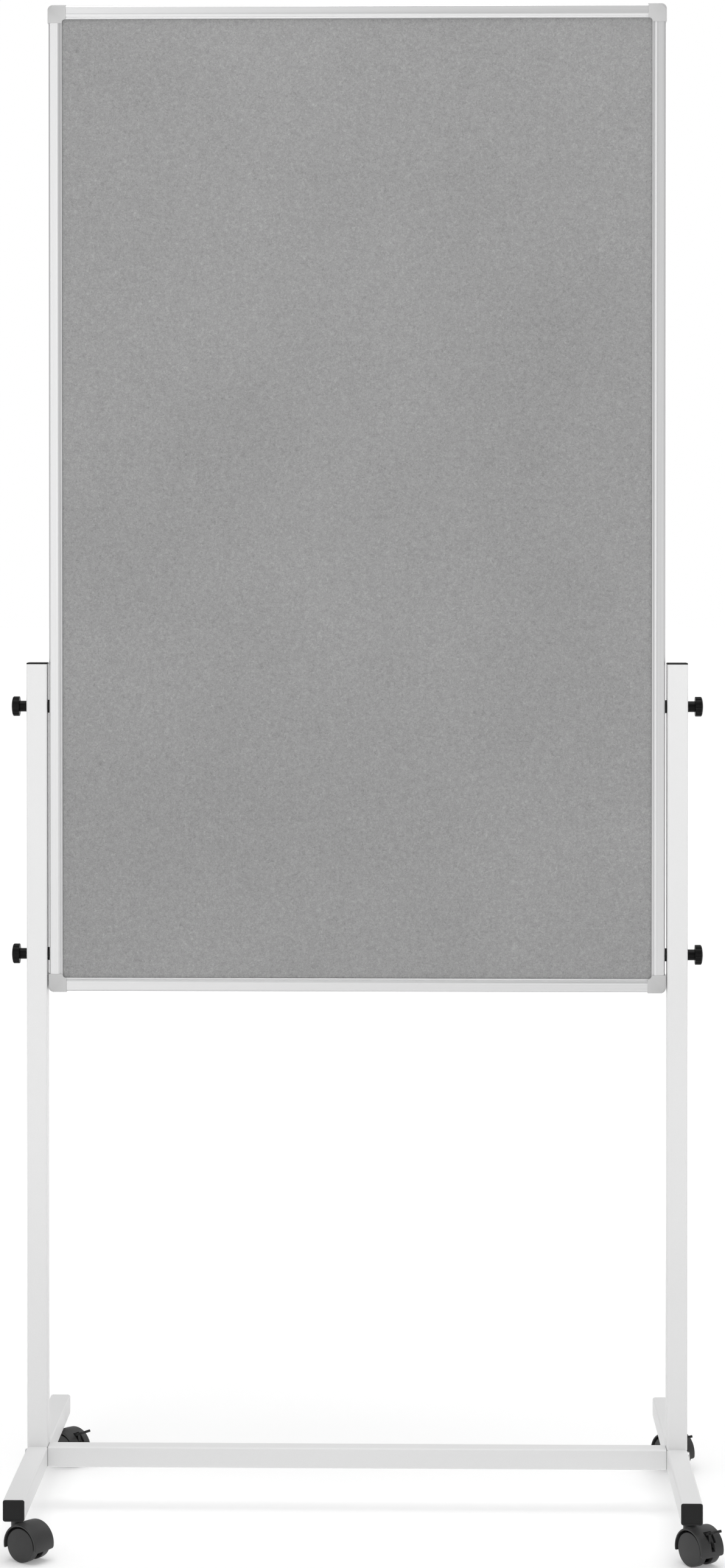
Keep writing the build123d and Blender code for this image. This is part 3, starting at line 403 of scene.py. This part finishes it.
def felt_piece():
    low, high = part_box("felt_cover")
    core_low, core_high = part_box("pinboard_core")
    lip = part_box("frame_left")[1].x  # inner edge of the left profile
    edge = lip - low.x  # how far the felt runs under the profiles
    step = 0.0031
    wide, tall = high.x - low.x - 0.0004, high.z - low.z - 0.0004
    nx, nz = int(round(wide / step)) + 1, int(round(tall / step)) + 1
    xs = np.linspace(low.x + 0.0002, high.x - 0.0002, nx)
    zs = np.linspace(low.z + 0.0002, high.z - 0.0002, nz)
    rng = np.random.default_rng(750)
    relief = (
        0.000085 * smooth_field(rng, (nz, nx), step, 0.007, 0.020)
        + 0.00004 * smooth_field(rng, (nz, nx), step, 0.010, 0.060)
        + 0.00005 * smooth_field(rng, (nz, nx), step, 0.100, 0.500)
    ).clip(-0.00022, 0.00022)
    gx = np.minimum(xs - xs[0], xs[-1] - xs)[None, :]
    gz = np.minimum(zs - zs[0], zs[-1] - zs)[:, None]
    inside = np.minimum(gx, gz) - edge  # distance from the opening's edge
    rise = 1 / (1 + np.exp(-(inside - 0.0022) / 0.0011))
    front = low.y + 0.00042
    tucked = low.y + 0.00075
    y = tucked + (front - relief - tucked) * rise
    back = core_low.y - 0.00002
    points = np.zeros((nz, nx, 3))
    points[..., 0], points[..., 1], points[..., 2] = xs[None, :], y, zs[:, None]
    verts = points.reshape(-1, 3)
    index = np.arange(nz * nx).reshape(nz, nx)
    faces = np.stack(
        [index[:-1, :-1], index[:-1, 1:], index[1:, 1:], index[1:, :-1]], axis=-1
    ).reshape(-1, 4)
    # rim and back: the same outline pushed back to the core, closed with one face
    ring = np.concatenate(
        [index[0, :-1], index[:-1, -1], index[-1, :0:-1], index[:0:-1, 0]]
    )
    rim = verts[ring].copy()
    rim[:, 1] = back
    start = len(verts)
    verts = np.concatenate([verts, rim])
    n = len(ring)
    walls = [
        (int(ring[(i + 1) % n]), int(ring[i]), start + i, start + (i + 1) % n)
        for i in range(n)
    ]
    mesh = bpy.data.meshes.new("felt_sheet")
    mesh.from_pydata(
        verts.tolist(), [], faces.tolist() + walls + [[start + i for i in range(n)][::-1]]
    )
    mesh.validate()
    mesh.update()
    for polygon in mesh.polygons:
        polygon.use_smooth = len(polygon.vertices) == 4
    piece = bpy.data.objects.new("felt_sheet", mesh)
    scene.collection.objects.link(piece)
    mesh.materials.append(SLOT_LOOKS["felt_grey"])
    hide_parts("felt_cover")
    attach(piece, "board")
    return piece


felt_piece()


# ------------------------------------------------------------------------ floor
def floor():
    side = 60.0
    n = 24
    axis = np.linspace(-1, 1, n)
    axis = np.sign(axis) * np.abs(axis) ** 2.2 * side
    index = np.arange(n * n).reshape(n, n)
    verts = [(float(x), float(y), -0.0004) for y in axis for x in axis]
    faces = np.stack(
        [index[:-1, :-1], index[:-1, 1:], index[1:, 1:], index[1:, :-1]], axis=-1
    ).reshape(-1, 4)
    mesh = bpy.data.meshes.new("studio_floor")
    mesh.from_pydata(verts, [], faces.tolist())
    ground = bpy.data.objects.new("studio_floor", mesh)
    scene.collection.objects.link(ground)
    look = Look("studio_floor_pale", grey(0.86), 0.8, specular=0.1)
    cloud = look.noise(1.3, 2.0)
    look.colours(cloud, (0.3, grey(0.85)), (0.7, grey(0.87)))
    # seamless sweep with painted light: the floor glows by emission, weakly near the board and
    # more strongly away from it, so away from the board it fades to the backdrop's white
    away = look.maths(
        "ADD",
        look.maths("MULTIPLY", look.axis(0), look.axis(0)),
        look.maths("MULTIPLY", look.axis(1), look.axis(1)),
    )
    look.shader.inputs["Emission Color"].default_value = (1.0, 1.0, 1.0, 1.0)
    # painted glow: the emission strength grows with the squared distance from the board
    look.link(
        look.span(away, 0.1, 5.0, 0.22, 0.58, smooth=True),
        look.shader.inputs["Emission Strength"],
    )
    mesh.materials.append(look.material)


floor()


# ----------------------------------------------------------------------- lights
def area_light(name, place, aim, width, height, power):
    data = bpy.data.lights.new(name, "AREA")
    data.shape = "RECTANGLE"
    data.size, data.size_y = width, height
    data.energy = power
    light = bpy.data.objects.new(name, data)
    scene.collection.objects.link(light)
    x, y, z = (b - a for a, b in zip(place, aim))
    light.location = place
    light.rotation_mode = "QUATERNION"
    light.rotation_quaternion = Vector((x, y, z)).to_track_quat("-Z", "Y")
    return light


area_light("softbox_left", (-1.7, -5.6, 2.2), (0.0, 0.0, 1.1), 1.5, 3.2, 36.0)
area_light("softbox_back", (2.8, 5.2, 2.6), (0.0, 0.0, 1.1), 2.2, 3.0, 26.0)
area_light("softbox_top", (0.2, -0.4, 5.0), (0.0, 0.0, 0.0), 4.0, 4.0, 125.0)

world = bpy.data.worlds.new("studio")
scene.world = world
world.use_nodes = True
tree = world.node_tree
tree.nodes.clear()
seen = tree.nodes.new("ShaderNodeBackground")
seen.inputs["Color"].default_value = (1.0, 1.0, 1.0, 1.0)
seen.inputs["Strength"].default_value = 1.0
lit = tree.nodes.new("ShaderNodeBackground")
lit.inputs["Color"].default_value = (1.0, 1.0, 1.0, 1.0)
lit.inputs["Strength"].default_value = 0.54
path = tree.nodes.new("ShaderNodeLightPath")
mix = tree.nodes.new("ShaderNodeMixShader")
out = tree.nodes.new("ShaderNodeOutputWorld")
tree.links.new(path.outputs["Is Camera Ray"], mix.inputs[0])
tree.links.new(lit.outputs[0], mix.inputs[1])
tree.links.new(seen.outputs[0], mix.inputs[2])
tree.links.new(mix.outputs[0], out.inputs["Surface"])

scene.view_settings.view_transform = "Standard"
scene.view_settings.look = "None"
scene.view_settings.exposure = 0.0
scene.view_settings.gamma = 1.0

# ----------------------------------------------------------------------- camera
FOCAL = 5643.2  # in the photograph's pixels, 2576 of them high
camera_data = bpy.data.cameras.new("camera")
camera_data.sensor_fit = "VERTICAL"
camera_data.sensor_width = camera_data.sensor_height = 36.0
camera_data.lens = FOCAL / 2576 * 36.0
camera_data.shift_y = -(1288.0 - 996.7) / 2576
camera_data.clip_start, camera_data.clip_end = 0.05, 200.0
camera = bpy.data.objects.new("camera", camera_data)
scene.collection.objects.link(camera)
right = (0.99980577, 0.01970838, 0.0)
up = (-0.00022839, 0.01158809, 0.99993283)
ahead = (-0.0197074, 0.99973861, -0.01158974)
camera.matrix_world = Matrix(
    [
        [right[i], up[i], -ahead[i], (0.0894939, -4.1870511, 1.1517119)[i]]
        for i in range(3)
    ]
    + [[0, 0, 0, 1]]
)
scene.camera = camera

bpy.context.view_layer.update()
